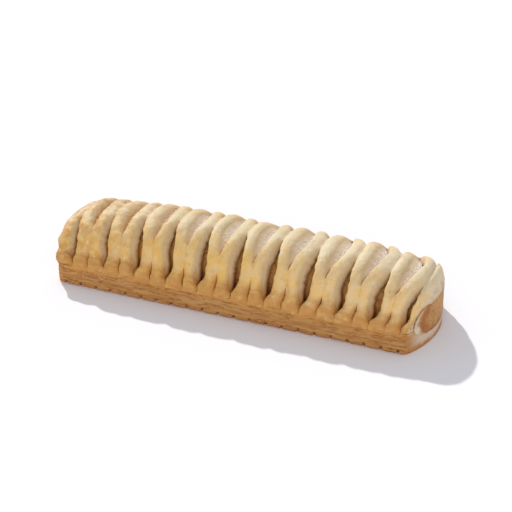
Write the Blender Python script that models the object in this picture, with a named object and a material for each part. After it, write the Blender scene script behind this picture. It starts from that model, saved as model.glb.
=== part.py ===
"""Lattice-topped sausage roll: a puffed base sheet, a log of filling and a slit sheet draped over it.

Metres, +Z up. X runs along the roll and Y across it. The origin is under the middle of the roll, on its base.
Each piece is a loft between unlike sections, so its faces are joined row by row from two rules: where the
top surface of the roll runs, and where the slits open in the sheet.
"""

import math

import bmesh
import bpy
import numpy as np
from mathutils import Vector, noise

# Whole roll
ROLL_LENGTH = 0.156
ROLL_WIDTH = 0.044
ROLL_HEIGHT = 0.0295
GAP = 0.0003

# Ends, right then left: the corners lie behind the middle, and the roof sinks towards each cut face. It dips
# gently between two distances from the end, then drops over the last stretch, faster and faster
CORNER_SET_BACK = (0.0055, 0.0030)
DIP = (0.0024, 0.0026)
DIP_START = (0.027, 0.050)
DIP_END = (0.011, 0.012)
DROP = (0.0066, 0.0062)
DROP_REACH = (0.0100, 0.0130)
DROP_POWER = (3.0, 1.7)
SHOULDER_SHARE_OF_SINK = 0.12

# Roof section: an upright toe and a flat seam at each edge, then a square-shouldered dome
TOE_HEIGHT = 0.0023
SEAM_HEIGHT = 0.0122
SEAM_WIDTH = 0.0034
SHOULDER_HEIGHT = 0.0132
DOME_POWER = 0.82
ARC_STEPS = 400
NORMAL_REACH = 0.0010
CREASE_SOFTNESS = 0.0020
HEEL_HALF_WIDTH = 0.0156
HEEL_ARC = 0.0047

# Lattice sheet: rows of staggered slits across the roll, opened into lenses as the sheet is stretched
STRANDS = 22
SHEET_THICKNESS = 0.0036
SEAM_THICKNESS = 0.0032
LEFT_EDGE_DROP = 0.0005
RIGHT_EDGE_DROP = 0.0011
JOIN_DROP = 0.0005
# Across a strand: a crisp left edge, a flat top and a right edge that rolls over, as (place, drop) pairs
STRAND_COLUMNS = ((0.09, 0.0001), (0.5, 0.0), (0.86, 0.0003))
# The wall on a slit's left slopes across this share of its width, the one on its right stands nearly upright
SIDE_SLIT_SLOPE = 0.36
RIDGE_SLIT_SLOPE = 0.78
UPRIGHT_SLOPE = 0.06
LINE_SHIFT = 0.0003
STRETCH_SHIFT = 0.0039
STRETCH_PLACE = 0.84
STRETCH_SPREAD = 0.24
LINE_WANDER = 0.00045
LEFT_OPENING = 0.45
FULL_OPENING_PLACE = 0.35
OPENING_UNEVENNESS = 0.25
SIDE_SLIT_SHORTER = 0.22
SHORTER_FROM = 0.7
RIDGE_SLIT_LEAN = 0.0023

# Rows of the sheet's grid, as distances along the roof from its near edge to the ridge
SIDE_ROWS = (0.0, 0.0014, 0.0027, 0.0046, 0.0064, 0.0086, 0.0112, 0.0140, 0.0166, 0.0194, 0.0224, 0.0254,
             0.0280, 0.0301)
# Side slits run out through the toe; the others are the ridge slits and the short ones between toes
SIDE_SLIT = ((0.0, 0.0007), (0.0027, 0.0010), (0.0049, 0.0024), (0.0073, 0.0040), (0.0128, 0.0050),
             (0.0173, 0.0046), (0.0234, 0.0025), (0.0273, 0.0012), (0.0301, 0.0))
RIDGE_SLIT = ((0.0166, 0.0), (0.0213, 0.0022), (0.0273, 0.0043), (0.0343, 0.0050))
TOE_SLIT = ((0.0, 0.0009), (0.0063, 0.0007), (0.0091, 0.0))

# Filling
FILLING_HALF_WIDTH = 0.0144
FILLING_MIDDLE_HEIGHT = 0.0105
FILLING_TOP_POWER = 0.85
FILLING_BOTTOM_POWER = 0.70
FILLING_SIDES = 24
FILLING_STATIONS = 27
FILLING_LUMP = 0.0003
LUMP_SIZE = 0.009

# Base sheet: puffed at its cut edges, thin under the filling
BASE_EDGE_HEIGHT = SEAM_HEIGHT - SEAM_THICKNESS - GAP
BASE_MIDDLE_HEIGHT = 0.0042
LIP_HEIGHT = 0.0007
LIP_PLACE = 0.0160
LIP_HALF_WIDTH = 0.0022
BASE_COLUMNS = (0.0215, 0.0187, 0.0172, 0.0159, 0.0148, 0.0138, 0.0125, 0.0105, 0.0070, 0.0)
BASE_STATIONS = 36
BOTTOM_ROUNDING = 0.0011
LEAF_COUNT = 7
LEAF_RELIEF = 0.00055
LEAF_RUN = 0.011
LEAF_CONTRAST = 1.6

# Belt marks in the bottom edge
MARK_PITCH = 0.00666
MARK_START = -0.07058
MARK_COUNT = 22
MARK_WIDTH = 0.0012
MARK_HEIGHT = 0.0020
MARK_DEPTH = 0.0022
MARK_TOP_SHARE = 0.55

# Finishes: colour, roughness
GLAZED_PASTRY = ((0.56, 0.36, 0.13, 1.0), 0.45)
BAKED_PASTRY = ((0.37, 0.20, 0.07, 1.0), 0.75)
BAKED_FILLING = ((0.33, 0.17, 0.06, 1.0), 0.70)

half_length = ROLL_LENGTH / 2
half_width = ROLL_WIDTH / 2
shoulder_half_width = half_width - SEAM_WIDTH
seam_run = math.hypot(SEAM_WIDTH, SHOULDER_HEIGHT - SEAM_HEIGHT)
shoulder_arc = TOE_HEIGHT + seam_run

dome_angles = np.linspace(0.0, math.pi / 2, ARC_STEPS)
dome_across = shoulder_half_width * np.cos(dome_angles) ** DOME_POWER
dome_rise = (ROLL_HEIGHT - SHOULDER_HEIGHT) * np.sin(dome_angles) ** DOME_POWER
dome_arcs = np.concatenate([[0.0], np.cumsum(np.hypot(np.diff(dome_across), np.diff(dome_rise)))])
ridge_arc = shoulder_arc + dome_arcs[-1]


def clear_scene():
    for scene_object in list(bpy.data.objects):
        bpy.data.objects.remove(scene_object, do_unlink=True)


def make_collection(name):
    collection = bpy.data.collections.new(name)
    bpy.context.scene.collection.children.link(collection)
    return collection


def make_finish(name, colour, roughness):
    material = bpy.data.materials.new(name)
    material.use_nodes = True
    shader = material.node_tree.nodes["Principled BSDF"]
    shader.inputs["Base Color"].default_value = colour
    shader.inputs["Roughness"].default_value = roughness
    shader.inputs["Metallic"].default_value = 0.0
    return material


def finish_object(name, mesh_edit, collection, finish):
    """Close the edit into a named object with its own finish, shaded smooth apart from crisp cut edges."""
    bmesh.ops.recalc_face_normals(mesh_edit, faces=mesh_edit.faces)
    mesh = bpy.data.meshes.new(name)
    mesh_edit.to_mesh(mesh)
    mesh_edit.free()
    mesh.shade_smooth()
    mesh.set_sharp_from_angle(angle=math.radians(40))
    made = bpy.data.objects.new(name, mesh)
    collection.objects.link(made)
    made.data.materials.append(make_finish(name, *finish))
    return made


def plan(along, across):
    """The end faces bow outwards: off the middle line, a place is drawn back towards the roll's middle."""
    set_back = CORNER_SET_BACK[0 if along > 0 else 1]
    return along * (1 - set_back / half_length * (across / half_width) ** 2)


def sink(along):
    """How far the ridge has sunk at this place along the roll."""
    end = 0 if along > 0 else 1
    to_end = half_length - abs(along)
    dip = min(max((DIP_START[end] - to_end) / (DIP_START[end] - DIP_END[end]), 0.0), 1.0)
    drop = min(max(1 - to_end / DROP_REACH[end], 0.0), 1.0)
    return DIP[end] * dip * dip * (3 - 2 * dip) + DROP[end] * drop ** DROP_POWER[end]


def creased_roof_point(along, arc):
    """The roll's top surface before the crease at the shoulder is softened; arc runs from the near edge."""
    side = -1 if arc < ridge_arc else 1
    arc = max(min(arc, 2 * ridge_arc - arc), 0.0)
    shoulder = SHOULDER_HEIGHT - sink(along) * SHOULDER_SHARE_OF_SINK
    if arc < shoulder_arc:
        share = max(arc - TOE_HEIGHT, 0.0) / seam_run
        across = half_width - SEAM_WIDTH * share
        height = SEAM_HEIGHT + (shoulder - SEAM_HEIGHT) * share - max(TOE_HEIGHT - arc, 0.0)
    else:
        angle = np.interp(arc - shoulder_arc, dome_arcs, dome_angles)
        across = shoulder_half_width * math.cos(angle) ** DOME_POWER
        height = shoulder + (ROLL_HEIGHT - sink(along) - shoulder) * math.sin(angle) ** DOME_POWER
    return Vector((plan(along, across), side * across, height))


def roof_point(along, arc):
    """The roll's top surface, where arc is the distance over the roof from the near edge of the sheet."""
    reach = min(CREASE_SOFTNESS, arc, 2 * ridge_arc - arc)
    around = creased_roof_point(along, arc - reach) + creased_roof_point(along, arc + reach)
    return creased_roof_point(along, arc) / 2 + around / 4


def roof_normal(along, arc):
    """Outward direction within the section, so that every section keeps the sheet's thickness."""
    before = roof_point(along, max(arc - NORMAL_REACH, 0.0))
    after = roof_point(along, min(arc + NORMAL_REACH, 2 * ridge_arc))
    return Vector((0.0, before.z - after.z, after.y - before.y)).normalized()


def under_roof(along, arc, depth):
    return roof_point(along, arc) - roof_normal(along, arc) * depth


def interpolate(pairs, place):
    """Read a curve that is given by (place, value) pairs."""
    places, values = zip(*pairs)
    return float(np.interp(place, places, values))


def slit_opening(line, arc):
    """Full width of the slit on this line. Odd lines hold side slits, even lines ridge and seam slits."""
    if line in (0, STRANDS):
        return 0.0
    far = 50.0 if arc > ridge_arc else 0.0
    arc = min(arc, 2 * ridge_arc - arc)
    share = line / STRANDS
    stretched = LEFT_OPENING + (1 - LEFT_OPENING) * min(share / FULL_OPENING_PLACE, 1.0)
    stretched *= 1 + OPENING_UNEVENNESS * noise.noise(Vector((line * 2.3, far, 0.5)))
    if line % 2:
        shorter = 1 + SIDE_SLIT_SHORTER * max(share - SHORTER_FROM, 0.0) / (1 - SHORTER_FROM)
        return stretched * interpolate(SIDE_SLIT, arc * shorter)
    toe = interpolate(TOE_SLIT, arc)
    return toe if toe > 0 else stretched * interpolate(RIDGE_SLIT, arc + RIDGE_SLIT_LEAN * (share - 0.5))


def slit_line(line, arc):
    """Place along the roll of a slit's middle. The sheet was stretched unevenly, so the lines aren't even."""
    share = line / STRANDS
    even = -half_length + ROLL_LENGTH * share
    if line in (0, STRANDS):
        return even
    shift = LINE_SHIFT + STRETCH_SHIFT * math.exp(-((share - STRETCH_PLACE) / STRETCH_SPREAD) ** 2)
    wander = LINE_WANDER * noise.noise(Vector((line * 3.7, arc * 90, 0.5)))
    return even + shift + wander


def make_lattice(collection):
    """The slit sheet: a grid of strands by rows, outer and inner skins, and walls round every slit."""
    rows = list(SIDE_ROWS) + [ridge_arc] + [2 * ridge_arc - row for row in reversed(SIDE_ROWS)]
    sheet = bmesh.new()
    made = {}

    def vertex(key, place):
        if key not in made:
            made[key] = sheet.verts.new(place)
        return made[key]

    def underside(along, row):
        """The sheet lies flat on the base as far in as its heel, and keeps its thickness over the filling."""
        nearest = min(rows[row], 2 * ridge_arc - rows[row])
        if nearest > HEEL_ARC:
            return under_roof(along, rows[row], SHEET_THICKNESS)
        across = half_width + (HEEL_HALF_WIDTH - half_width) * nearest / HEEL_ARC
        side = -1 if rows[row] < ridge_arc else 1
        return Vector((plan(along, across), side * across, base_top(across) + GAP))

    def edge_vertices(line, row, side):
        """Outer and inner vertex of a strand's edge: shared by both strands where the slit is closed."""
        opening = slit_opening(line, rows[row])
        if opening == 0.0:
            key = (line, row)
            side = 0
        else:
            key = (line, row, side)
        drop = JOIN_DROP
        if opening > 0 or line in (0, STRANDS):
            drop = LEFT_EDGE_DROP if side > 0 else RIGHT_EDGE_DROP
        edge = slit_line(line, rows[row]) + side * opening / 2
        outer = under_roof(edge, rows[row], drop)
        if side > 0:
            slope = -UPRIGHT_SLOPE
        else:
            slope = SIDE_SLIT_SLOPE if line % 2 else RIDGE_SLIT_SLOPE
        inner = underside(edge + slope * opening, row)
        return vertex(("outer",) + key, outer), vertex(("inner",) + key, inner)

    def strand_row(strand, row):
        """One cross-section of a strand: its outer and its inner vertices, from left to right.

        Only the end strands, where the roof sinks, need inner vertices between their edges.
        """
        left_outer, left_inner = edge_vertices(strand, row, 1)
        right_outer, right_inner = edge_vertices(strand + 1, row, -1)
        left = slit_line(strand, rows[row]) + slit_opening(strand, rows[row]) / 2
        right = slit_line(strand + 1, rows[row]) - slit_opening(strand + 1, rows[row]) / 2
        outer = [left_outer]
        inner = [left_inner]
        for column, drop in STRAND_COLUMNS:
            along = left + (right - left) * column
            outer.append(vertex(("crown", strand, row, column), under_roof(along, rows[row], drop)))
            if strand in (0, STRANDS - 1):
                inner.append(vertex(("hollow", strand, row, column), underside(along, row)))
        outer.append(right_outer)
        inner.append(right_inner)
        return outer, inner

    last = len(rows) - 1
    for strand in range(STRANDS):
        sections = [strand_row(strand, row) for row in range(len(rows))]
        for row in range(last):
            outer, inner = sections[row]
            next_outer, next_inner = sections[row + 1]
            for column in range(len(outer) - 1):
                sheet.faces.new((outer[column], outer[column + 1], next_outer[column + 1], next_outer[column]))
            for column in range(len(inner) - 1):
                sheet.faces.new((inner[column + 1], inner[column], next_inner[column], next_inner[column + 1]))
            for line, end in ((strand, 0), (strand + 1, -1)):
                is_open = max(slit_opening(line, rows[row]), slit_opening(line, rows[row + 1])) > 0
                if is_open or line in (0, STRANDS):
                    wall = (outer[end], next_outer[end], next_inner[end], inner[end])
                    sheet.faces.new(wall if end else wall[::-1])
        for row in (0, last):
            outer, inner = sections[row]
            rim = outer + inner[::-1]
            sheet.faces.new(rim[::-1] if row == 0 else rim)
    bmesh.ops.triangulate(sheet, faces=sheet.faces)
    return finish_object("lattice_pastry", sheet, collection, GLAZED_PASTRY)


def filling_top(along):
    return ROLL_HEIGHT - sink(along) - SHEET_THICKNESS - GAP - FILLING_LUMP


def filling_underside(across):
    """Height of the filling's lower side, which the base sheet is moulded to."""
    share = min(abs(across) / FILLING_HALF_WIDTH, 1.0)
    cosine = share ** (1 / FILLING_BOTTOM_POWER)
    depth = FILLING_MIDDLE_HEIGHT - BASE_MIDDLE_HEIGHT - GAP
    return FILLING_MIDDLE_HEIGHT - depth * (1 - cosine ** 2) ** (FILLING_BOTTOM_POWER / 2)


def filling_point(along, side):
    angle = 2 * math.pi * side / FILLING_SIDES
    cosine = math.cos(angle)
    sine = math.sin(angle)
    if sine >= 0:
        power, height = FILLING_TOP_POWER, filling_top(along) - FILLING_MIDDLE_HEIGHT
    else:
        power, height = FILLING_BOTTOM_POWER, FILLING_MIDDLE_HEIGHT - BASE_MIDDLE_HEIGHT - GAP
    lump = FILLING_LUMP * noise.noise(Vector((along, cosine * 0.01, sine * 0.01)) / LUMP_SIZE)
    across = math.copysign(FILLING_HALF_WIDTH * abs(cosine) ** power, cosine) * (1 - abs(lump) / FILLING_HALF_WIDTH)
    upward = math.copysign(abs(sine) ** power, sine) * (height - abs(lump))
    return Vector((plan(along, across), across, FILLING_MIDDLE_HEIGHT + upward))


def stations(count):
    """Places along the roll, closer together towards the ends."""
    return [half_length * math.sin(math.pi / 2 * (2 * step / (count - 1) - 1)) for step in range(count)]


def bridge_rings(edit, rings):
    for ring, next_ring in zip(rings, rings[1:]):
        for step in range(len(ring)):
            after = (step + 1) % len(ring)
            edit.faces.new((ring[step], ring[after], next_ring[after], next_ring[step]))


def make_filling(collection):
    """A soft log: each end is closed by upright strips, so it bows outwards like the pastry round it."""
    log = bmesh.new()
    rings = [[log.verts.new(filling_point(along, side)) for side in range(FILLING_SIDES)]
             for along in stations(FILLING_STATIONS)]
    bridge_rings(log, rings)
    half = FILLING_SIDES // 2
    for ring in (rings[0], rings[-1]):
        for step in range(half):
            upper, next_upper = ring[step], ring[step + 1]
            lower, next_lower = ring[-step], ring[-step - 1]
            corners = dict.fromkeys((upper, next_upper, next_lower, lower))
            log.faces.new(tuple(corners))
    bmesh.ops.triangulate(log, faces=log.faces)
    return finish_object("filling", log, collection, BAKED_FILLING)


def base_top(across):
    """Upper side of the base sheet: flat under the seam, a low lip, then moulded to the filling."""
    across = abs(across)
    lip = max(1 - ((across - LIP_PLACE) / LIP_HALF_WIDTH) ** 2, 0.0)
    edge = BASE_EDGE_HEIGHT + LIP_HEIGHT * lip
    if across >= FILLING_HALF_WIDTH:
        return edge
    return min(edge, filling_underside(across) - GAP)


def leaf_reach(along, height, side):
    """Half-width of the base at this height: its cut edge shows leaves of pastry, each a little in or out."""
    leaf = noise.noise(Vector((along / LEAF_RUN, height * 900, side * 7.0))) * LEAF_CONTRAST
    return half_width - LEAF_RELIEF * (1 + max(min(leaf, 1.0), -1.0))


def base_ring(along):
    """Section of the base, counter-clockwise seen from +X: top from near to far, then side, bottom, side."""
    tops = [-across for across in BASE_COLUMNS] + [across for across in reversed(BASE_COLUMNS[:-1])]
    heights = [BOTTOM_ROUNDING + (BASE_EDGE_HEIGHT - BOTTOM_ROUNDING) * leaf / LEAF_COUNT
               for leaf in range(LEAF_COUNT)]
    far_side = [(leaf_reach(along, height, 1), height) for height in reversed(heights)]
    near_side = [(-leaf_reach(along, height, -1), height) for height in heights]
    bottoms = [(across, 0.0) for across in reversed(tops)]
    bottoms[0] = (half_width - BOTTOM_ROUNDING, 0.0)
    bottoms[-1] = (BOTTOM_ROUNDING - half_width, 0.0)
    return [(across, base_top(across)) for across in tops] + far_side + bottoms + near_side


def mark_cutters(collection):
    """Short upright slots, narrower at the top, along both bottom edges."""
    cutters = bmesh.new()
    for step in range(MARK_COUNT):
        for side in (-1, 1):
            box = bmesh.ops.create_cube(cutters, size=1.0)["verts"]
            for corner in box:
                share = MARK_TOP_SHARE if corner.co.z > 0 else 1.0
                along = MARK_START + step * MARK_PITCH + corner.co.x * MARK_WIDTH * share
                corner.co = Vector((plan(along, half_width), side * half_width + corner.co.y * 2 * MARK_DEPTH,
                                    corner.co.z * 2 * MARK_HEIGHT))
    mesh = bpy.data.meshes.new("belt_marks")
    cutters.to_mesh(mesh)
    cutters.free()
    made = bpy.data.objects.new("belt_marks", mesh)
    made.hide_render = True
    made.display_type = "WIRE"
    collection.objects.link(made)
    return made


def make_base(collection, cutter_collection):
    sheet = bmesh.new()
    rings = []
    for along in stations(BASE_STATIONS):
        ring = [sheet.verts.new((plan(along, across), across, height)) for across, height in base_ring(along)]
        rings.append(ring)
    bridge_rings(sheet, rings)
    columns = 2 * len(BASE_COLUMNS) - 1
    for ring in (rings[0], rings[-1]):
        tops = ring[:columns]
        bottoms = ring[columns + LEAF_COUNT:2 * columns + LEAF_COUNT][::-1]
        for step in range(columns - 1):
            sheet.faces.new((tops[step], tops[step + 1], bottoms[step + 1], bottoms[step]))
        sheet.faces.new([tops[-1]] + ring[columns:columns + LEAF_COUNT] + [bottoms[-1]])
        sheet.faces.new([bottoms[0]] + ring[2 * columns + LEAF_COUNT:] + [tops[0]])
    bmesh.ops.triangulate(sheet, faces=sheet.faces)
    base = finish_object("base_pastry", sheet, collection, BAKED_PASTRY)
    marks = base.modifiers.new("Belt marks", "BOOLEAN")
    marks.operation = "DIFFERENCE"
    marks.object = mark_cutters(cutter_collection)
    return base


def main():
    clear_scene()
    pieces = make_collection("lattice_roll")
    cutters = make_collection("cutters")
    make_base(pieces, cutters)
    make_filling(pieces)
    make_lattice(pieces)


main()
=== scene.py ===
"""Looks of a lattice-topped sausage roll, laid out as an add-on: each operator makes one piece of the roll.

Metres, +Z up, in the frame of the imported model. X runs along the roll and Y across it.
"""

import math
from functools import partial

import bmesh
import bpy
import numpy as np
from bpy.props import FloatProperty, FloatVectorProperty, IntProperty, PointerProperty
from bpy.types import Operator, Panel, PropertyGroup
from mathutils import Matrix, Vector, noise


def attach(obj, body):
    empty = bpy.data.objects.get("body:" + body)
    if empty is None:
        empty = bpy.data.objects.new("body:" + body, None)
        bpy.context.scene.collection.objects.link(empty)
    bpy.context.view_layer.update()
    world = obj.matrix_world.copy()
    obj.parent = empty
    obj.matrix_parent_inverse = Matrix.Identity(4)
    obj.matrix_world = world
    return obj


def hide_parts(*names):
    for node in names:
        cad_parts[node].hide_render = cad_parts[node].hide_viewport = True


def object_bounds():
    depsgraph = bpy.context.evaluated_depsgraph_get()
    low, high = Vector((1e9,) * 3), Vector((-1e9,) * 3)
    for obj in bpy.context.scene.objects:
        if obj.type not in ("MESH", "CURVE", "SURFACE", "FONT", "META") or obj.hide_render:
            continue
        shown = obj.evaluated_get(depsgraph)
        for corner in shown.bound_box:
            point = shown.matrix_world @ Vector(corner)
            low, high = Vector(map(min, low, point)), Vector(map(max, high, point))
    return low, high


bl_info = {
    "name": "Lattice sausage roll",
    "version": (1, 0, 0),
    "blender": (4, 5, 0),
    "location": "View3D > Sidebar > Sausage roll",
    "description": "Makes the pastry, the filling and the stage of a lattice-topped sausage roll",
    "category": "Object",
}

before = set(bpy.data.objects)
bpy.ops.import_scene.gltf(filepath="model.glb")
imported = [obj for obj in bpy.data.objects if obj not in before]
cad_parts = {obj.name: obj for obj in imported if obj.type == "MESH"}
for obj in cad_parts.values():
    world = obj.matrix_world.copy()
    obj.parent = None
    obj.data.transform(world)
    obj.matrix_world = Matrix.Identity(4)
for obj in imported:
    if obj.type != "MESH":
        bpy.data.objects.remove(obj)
cad_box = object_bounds()

# Whole roll, from the frame
ROLL_LENGTH = cad_box[1].x - cad_box[0].x
ROLL_WIDTH = cad_box[1].y - cad_box[0].y
ROLL_HEIGHT = cad_box[1].z - cad_box[0].z

# Ends, right then left: how far the corners lie behind the middle, and how the roof sinks to the cut face
CORNER_SET_BACK = (0.0055, 0.0030)
DIP = (0.0024, 0.0026)
DIP_START = (0.027, 0.050)
DIP_END = (0.011, 0.012)
DROP = (0.0066, 0.0062)
DROP_REACH = (0.0100, 0.0130)
DROP_POWER = (3.0, 1.7)
SHOULDER_SHARE_OF_SINK = 0.12

# Roof section: an upright toe and a flat seam at each edge, then a square-shouldered dome
TOE_HEIGHT = 0.0023
SEAM_HEIGHT = 0.0122
SEAM_WIDTH = 0.0034
SHOULDER_HEIGHT = 0.0132
DOME_POWER = 0.82
ARC_STEPS = 800
NORMAL_REACH = 0.0010
CREASE_SOFTNESS = 0.0020
# The sheet's hollow side has a flat heel on the base sheet, in to this half width and up to this arc
HEEL_HALF_WIDTH = 0.0156
HEEL_ARC = 0.0047

# Lattice sheet. A slit's walls slope by a share of its width, and the lines between strands are shifted where
# the sheet was stretched most. Slits open from the left end on, up to their full width
STRANDS = 22
SHEET_ROWS = 150
SHEET_THICKNESS = 0.0036
WALL_STEPS = 6
SIDE_SLIT_SLOPE = 0.36
RIDGE_SLIT_SLOPE = 0.78
UPRIGHT_SLOPE = 0.06
LINE_SHIFT = 0.0003
STRETCH_SHIFT = 0.0039
STRETCH_PLACE = 0.84
STRETCH_SPREAD = 0.24
LINE_WANDER = 0.00045
WANDER_FREQUENCY = 90.0
LEFT_OPENING = 0.45
FULL_OPENING_PLACE = 0.35
OPENING_UNEVENNESS = 0.25
SIDE_SLIT_SHORTER = 0.22
SHORTER_FROM = 0.7
RIDGE_SLIT_LEAN = 0.0023
# Full width of each kind of slit at arcs over the roof
SIDE_SLIT = ((0.0, 0.0007), (0.0027, 0.0010), (0.0049, 0.0024), (0.0073, 0.0040), (0.0128, 0.0050),
             (0.0173, 0.0046), (0.0234, 0.0025), (0.0273, 0.0012), (0.0301, 0.0))
RIDGE_SLIT = ((0.0166, 0.0), (0.0213, 0.0022), (0.0273, 0.0043), (0.0343, 0.0050))
TOE_SLIT = ((0.0, 0.0009), (0.0063, 0.0007), (0.0091, 0.0))

# Columns across a strand between its edges, closer together where the edges round over, and across its hollow
STRAND_COLUMNS = (0.03, 0.09, 0.19, 0.34, 0.52, 0.68, 0.81, 0.90, 0.96)
LAST_STRAND_COLUMNS = (0.04, 0.10, 0.20, 0.33, 0.48, 0.62, 0.72, 0.78, 0.82, 0.86, 0.90, 0.93, 0.96, 0.98)
HOLLOW_COLUMNS = (0.25, 0.5, 0.75)
# Depth and reach of the fall at an open edge: crisp on a strand's left, a soft slope on its right into a
# ridge slit and into a side slit, and crisp again at the cut end. Where strands are joined, even lines have
# hardly a dent and odd lines a soft valley
LEFT_EDGE = (0.00045, 0.00060)
RIGHT_EDGES = ((0.00110, 0.00340), (0.00140, 0.00270))
END_EDGE = (0.00050, 0.00080)
# The last strand is a narrow one, and the bare dough beside it lies lower
END_STEP = 0.0009
END_STEP_PLACE = (0.80, 0.90)
LAST_VALLEY = (0.0011, 0.0015)
LAST_SLIT_SHARE = 0.55
JOINED_EDGES = ((0.00005, 0.00080), (0.00060, 0.00220))
CAMBER = 0.00022
CORNER_EDGE = (0.00200, 0.00350)
# Each strand swells over the seam and is pushed out at its toe
KNUCKLE_RISE = 0.00125
KNUCKLE_ARC = 0.0058
KNUCKLE_REACH = 0.0027
TOE_PUSH = 0.00055
TOE_PUSH_REACH = 0.0020
# The relief grows towards the left end and again at the cut end on the right: from, up to, and by how much
ROUGH_ENDS = ((-0.030, -ROLL_LENGTH / 2, 2.0), (0.068, ROLL_LENGTH / 2, 0.9))
# Place, reach, push and brownness of the knobs of dough at the left end: a browned one at the near toe, and
# the corner of the first strand above it
KNOBS = (((-0.0775, -0.0215, 0.0105), 0.0030, (-0.0019, -0.0008, 0.0004), 1.0),
         ((-0.0770, -0.0185, 0.0165), 0.0034, (-0.0016, -0.0006, 0.0012), 0.2))
# A slit this wide counts as open, and its tips are softened over so many rows
FULLY_OPEN = 0.0010
SOFTENED_ROWS = 7
EDGE_WAVER = 0.00042
WAVER_FREQUENCY = 420.0
STRAND_HEAVE = 0.00045
HEAVE_FREQUENCY = 75.0
FLANK_BULGE = 0.00025
# Down a ridge slit's right wall, the share where torn dough starts and where it is full
TORN_WALL = (0.45, 0.80)
# A wall's slit colour fades towards its heel, down to this share, and its relief towards its hollow edge
LEAST_WALL_SHARE = 0.4
WALL_RELIEF_LOSS = 0.5

# Filling
FILLING_HALF_WIDTH = 0.0144
FILLING_MIDDLE_HEIGHT = 0.0105
FILLING_TOP_POWER = 0.85
FILLING_BOTTOM_POWER = 0.70
FILLING_LUMP = 0.0003
FILLING_SIDES = 112
FILLING_STATIONS = 210
FILLING_CAP_ROWS = 16
# At the cut ends the log spreads a little, and stands just behind the pastry
FILLING_FLARE = 0.32
FLARE_REACH = 0.0025
FLARE_RISE = 0.0012
FILLING_RECESS = 0.00020

# Base sheet
BASE_EDGE_HEIGHT = 0.0087
BASE_MIDDLE_HEIGHT = 0.0042
LIP_HEIGHT = 0.0007
LIP_PLACE = 0.0160
LIP_HALF_WIDTH = 0.0022
BOTTOM_ROUNDING = 0.0011
TOP_ROUNDING = 0.0002
BASE_STATIONS = 420
BASE_SIDE_ROWS = 36
BASE_COLUMNS = (0.0, 0.0035, 0.0070, 0.0090, 0.0105, 0.0116, 0.0127, 0.0138, 0.0148, 0.0159, 0.0172, 0.0187,
                0.0203, 0.0213)
# Room between the filling and the pastry, and how deep the lattice sheet's heel sits in the base sheet
GAP = 0.0003
EMBED = 0.0006
MILLIMETRES = 1000
BASE_BLISTER_SHARE = 0.9
# How far rings gather towards the ends of the roll
CROWDING = 0.2
# The bare dough of a cut end fades in over this distance from its corners
END_FADE = 0.0060

half_length = ROLL_LENGTH / 2
half_width = ROLL_WIDTH / 2
shoulder_half_width = half_width - SEAM_WIDTH
seam_run = math.hypot(SEAM_WIDTH, SHOULDER_HEIGHT - SEAM_HEIGHT)
shoulder_arc = TOE_HEIGHT + seam_run
dome_angles = np.linspace(0.0, math.pi / 2, ARC_STEPS)
dome_across = shoulder_half_width * np.cos(dome_angles) ** DOME_POWER
dome_rise = (ROLL_HEIGHT - SHOULDER_HEIGHT) * np.sin(dome_angles) ** DOME_POWER
dome_arcs = np.concatenate([[0.0], np.cumsum(np.hypot(np.diff(dome_across), np.diff(dome_rise)))])
ridge_arc = shoulder_arc + dome_arcs[-1]


def linear(hex_colour):
    """Turn an sRGB hex colour into linear red, green, blue and alpha."""
    channels = [int(hex_colour[place:place + 2], 16) / 255 for place in (1, 3, 5)]
    return [c / 12.92 if c <= 0.04045 else ((c + 0.055) / 1.055) ** 2.4 for c in channels] + [1.0]


def shade(name, description, hex_colour):
    return FloatVectorProperty(name=name, description=description, default=linear(hex_colour), size=4,
                               subtype="COLOR", min=0.0, max=1.0)


def length(name, description, default):
    return FloatProperty(name=name, description=description, default=default, unit="LENGTH",
                         subtype="DISTANCE", precision=5)


def amount(name, description, default):
    return FloatProperty(name=name, description=description, default=default, min=0.0)


def angle(name, description, degrees):
    return FloatProperty(name=name, description=description, default=math.radians(degrees), subtype="ANGLE")


class RollSizes(PropertyGroup):
    blister_size: length("Blister size", "Width of the soft swellings of baked pastry", 0.0042)
    blister_depth: length("Blister depth", "Height of those swellings", 0.00050)
    grain_size: length("Grain size", "Width of the fine roughness of the crust", 0.0009)
    grain_depth: length("Grain depth", "Height of the fine roughness of the crust", 0.00010)
    leaf_height: length("Leaf height", "Thickness of one leaf of the laminated base", 0.00070)
    leaf_run: length("Leaf run", "Length over which one leaf shows", 0.0075)
    leaf_depth: length("Leaf depth", "How far leaves stand in front of each other", 0.0007)
    mark_pitch: length("Mark pitch", "Spacing of the belt marks in the bottom edges", 0.00666)
    mark_start: length("Mark start", "Place of the leftmost belt mark", -0.07108)
    mark_width: length("Mark width", "Width of a belt mark", 0.00120)
    mark_height: length("Mark height", "Height of a belt mark", 0.0021)
    mark_depth: length("Mark depth", "How deep a belt mark is", 0.0016)
    crumb_size: length("Crumb size", "Size of the torn crumbs in the ridge slits", 0.00024)
    crumb_density: amount("Crumb density", "Torn crumbs for each square metre of torn face", 9.0e6)
    seed: IntProperty(name="Seed", description="Seed of every random draw", default=7, min=0)


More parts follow.
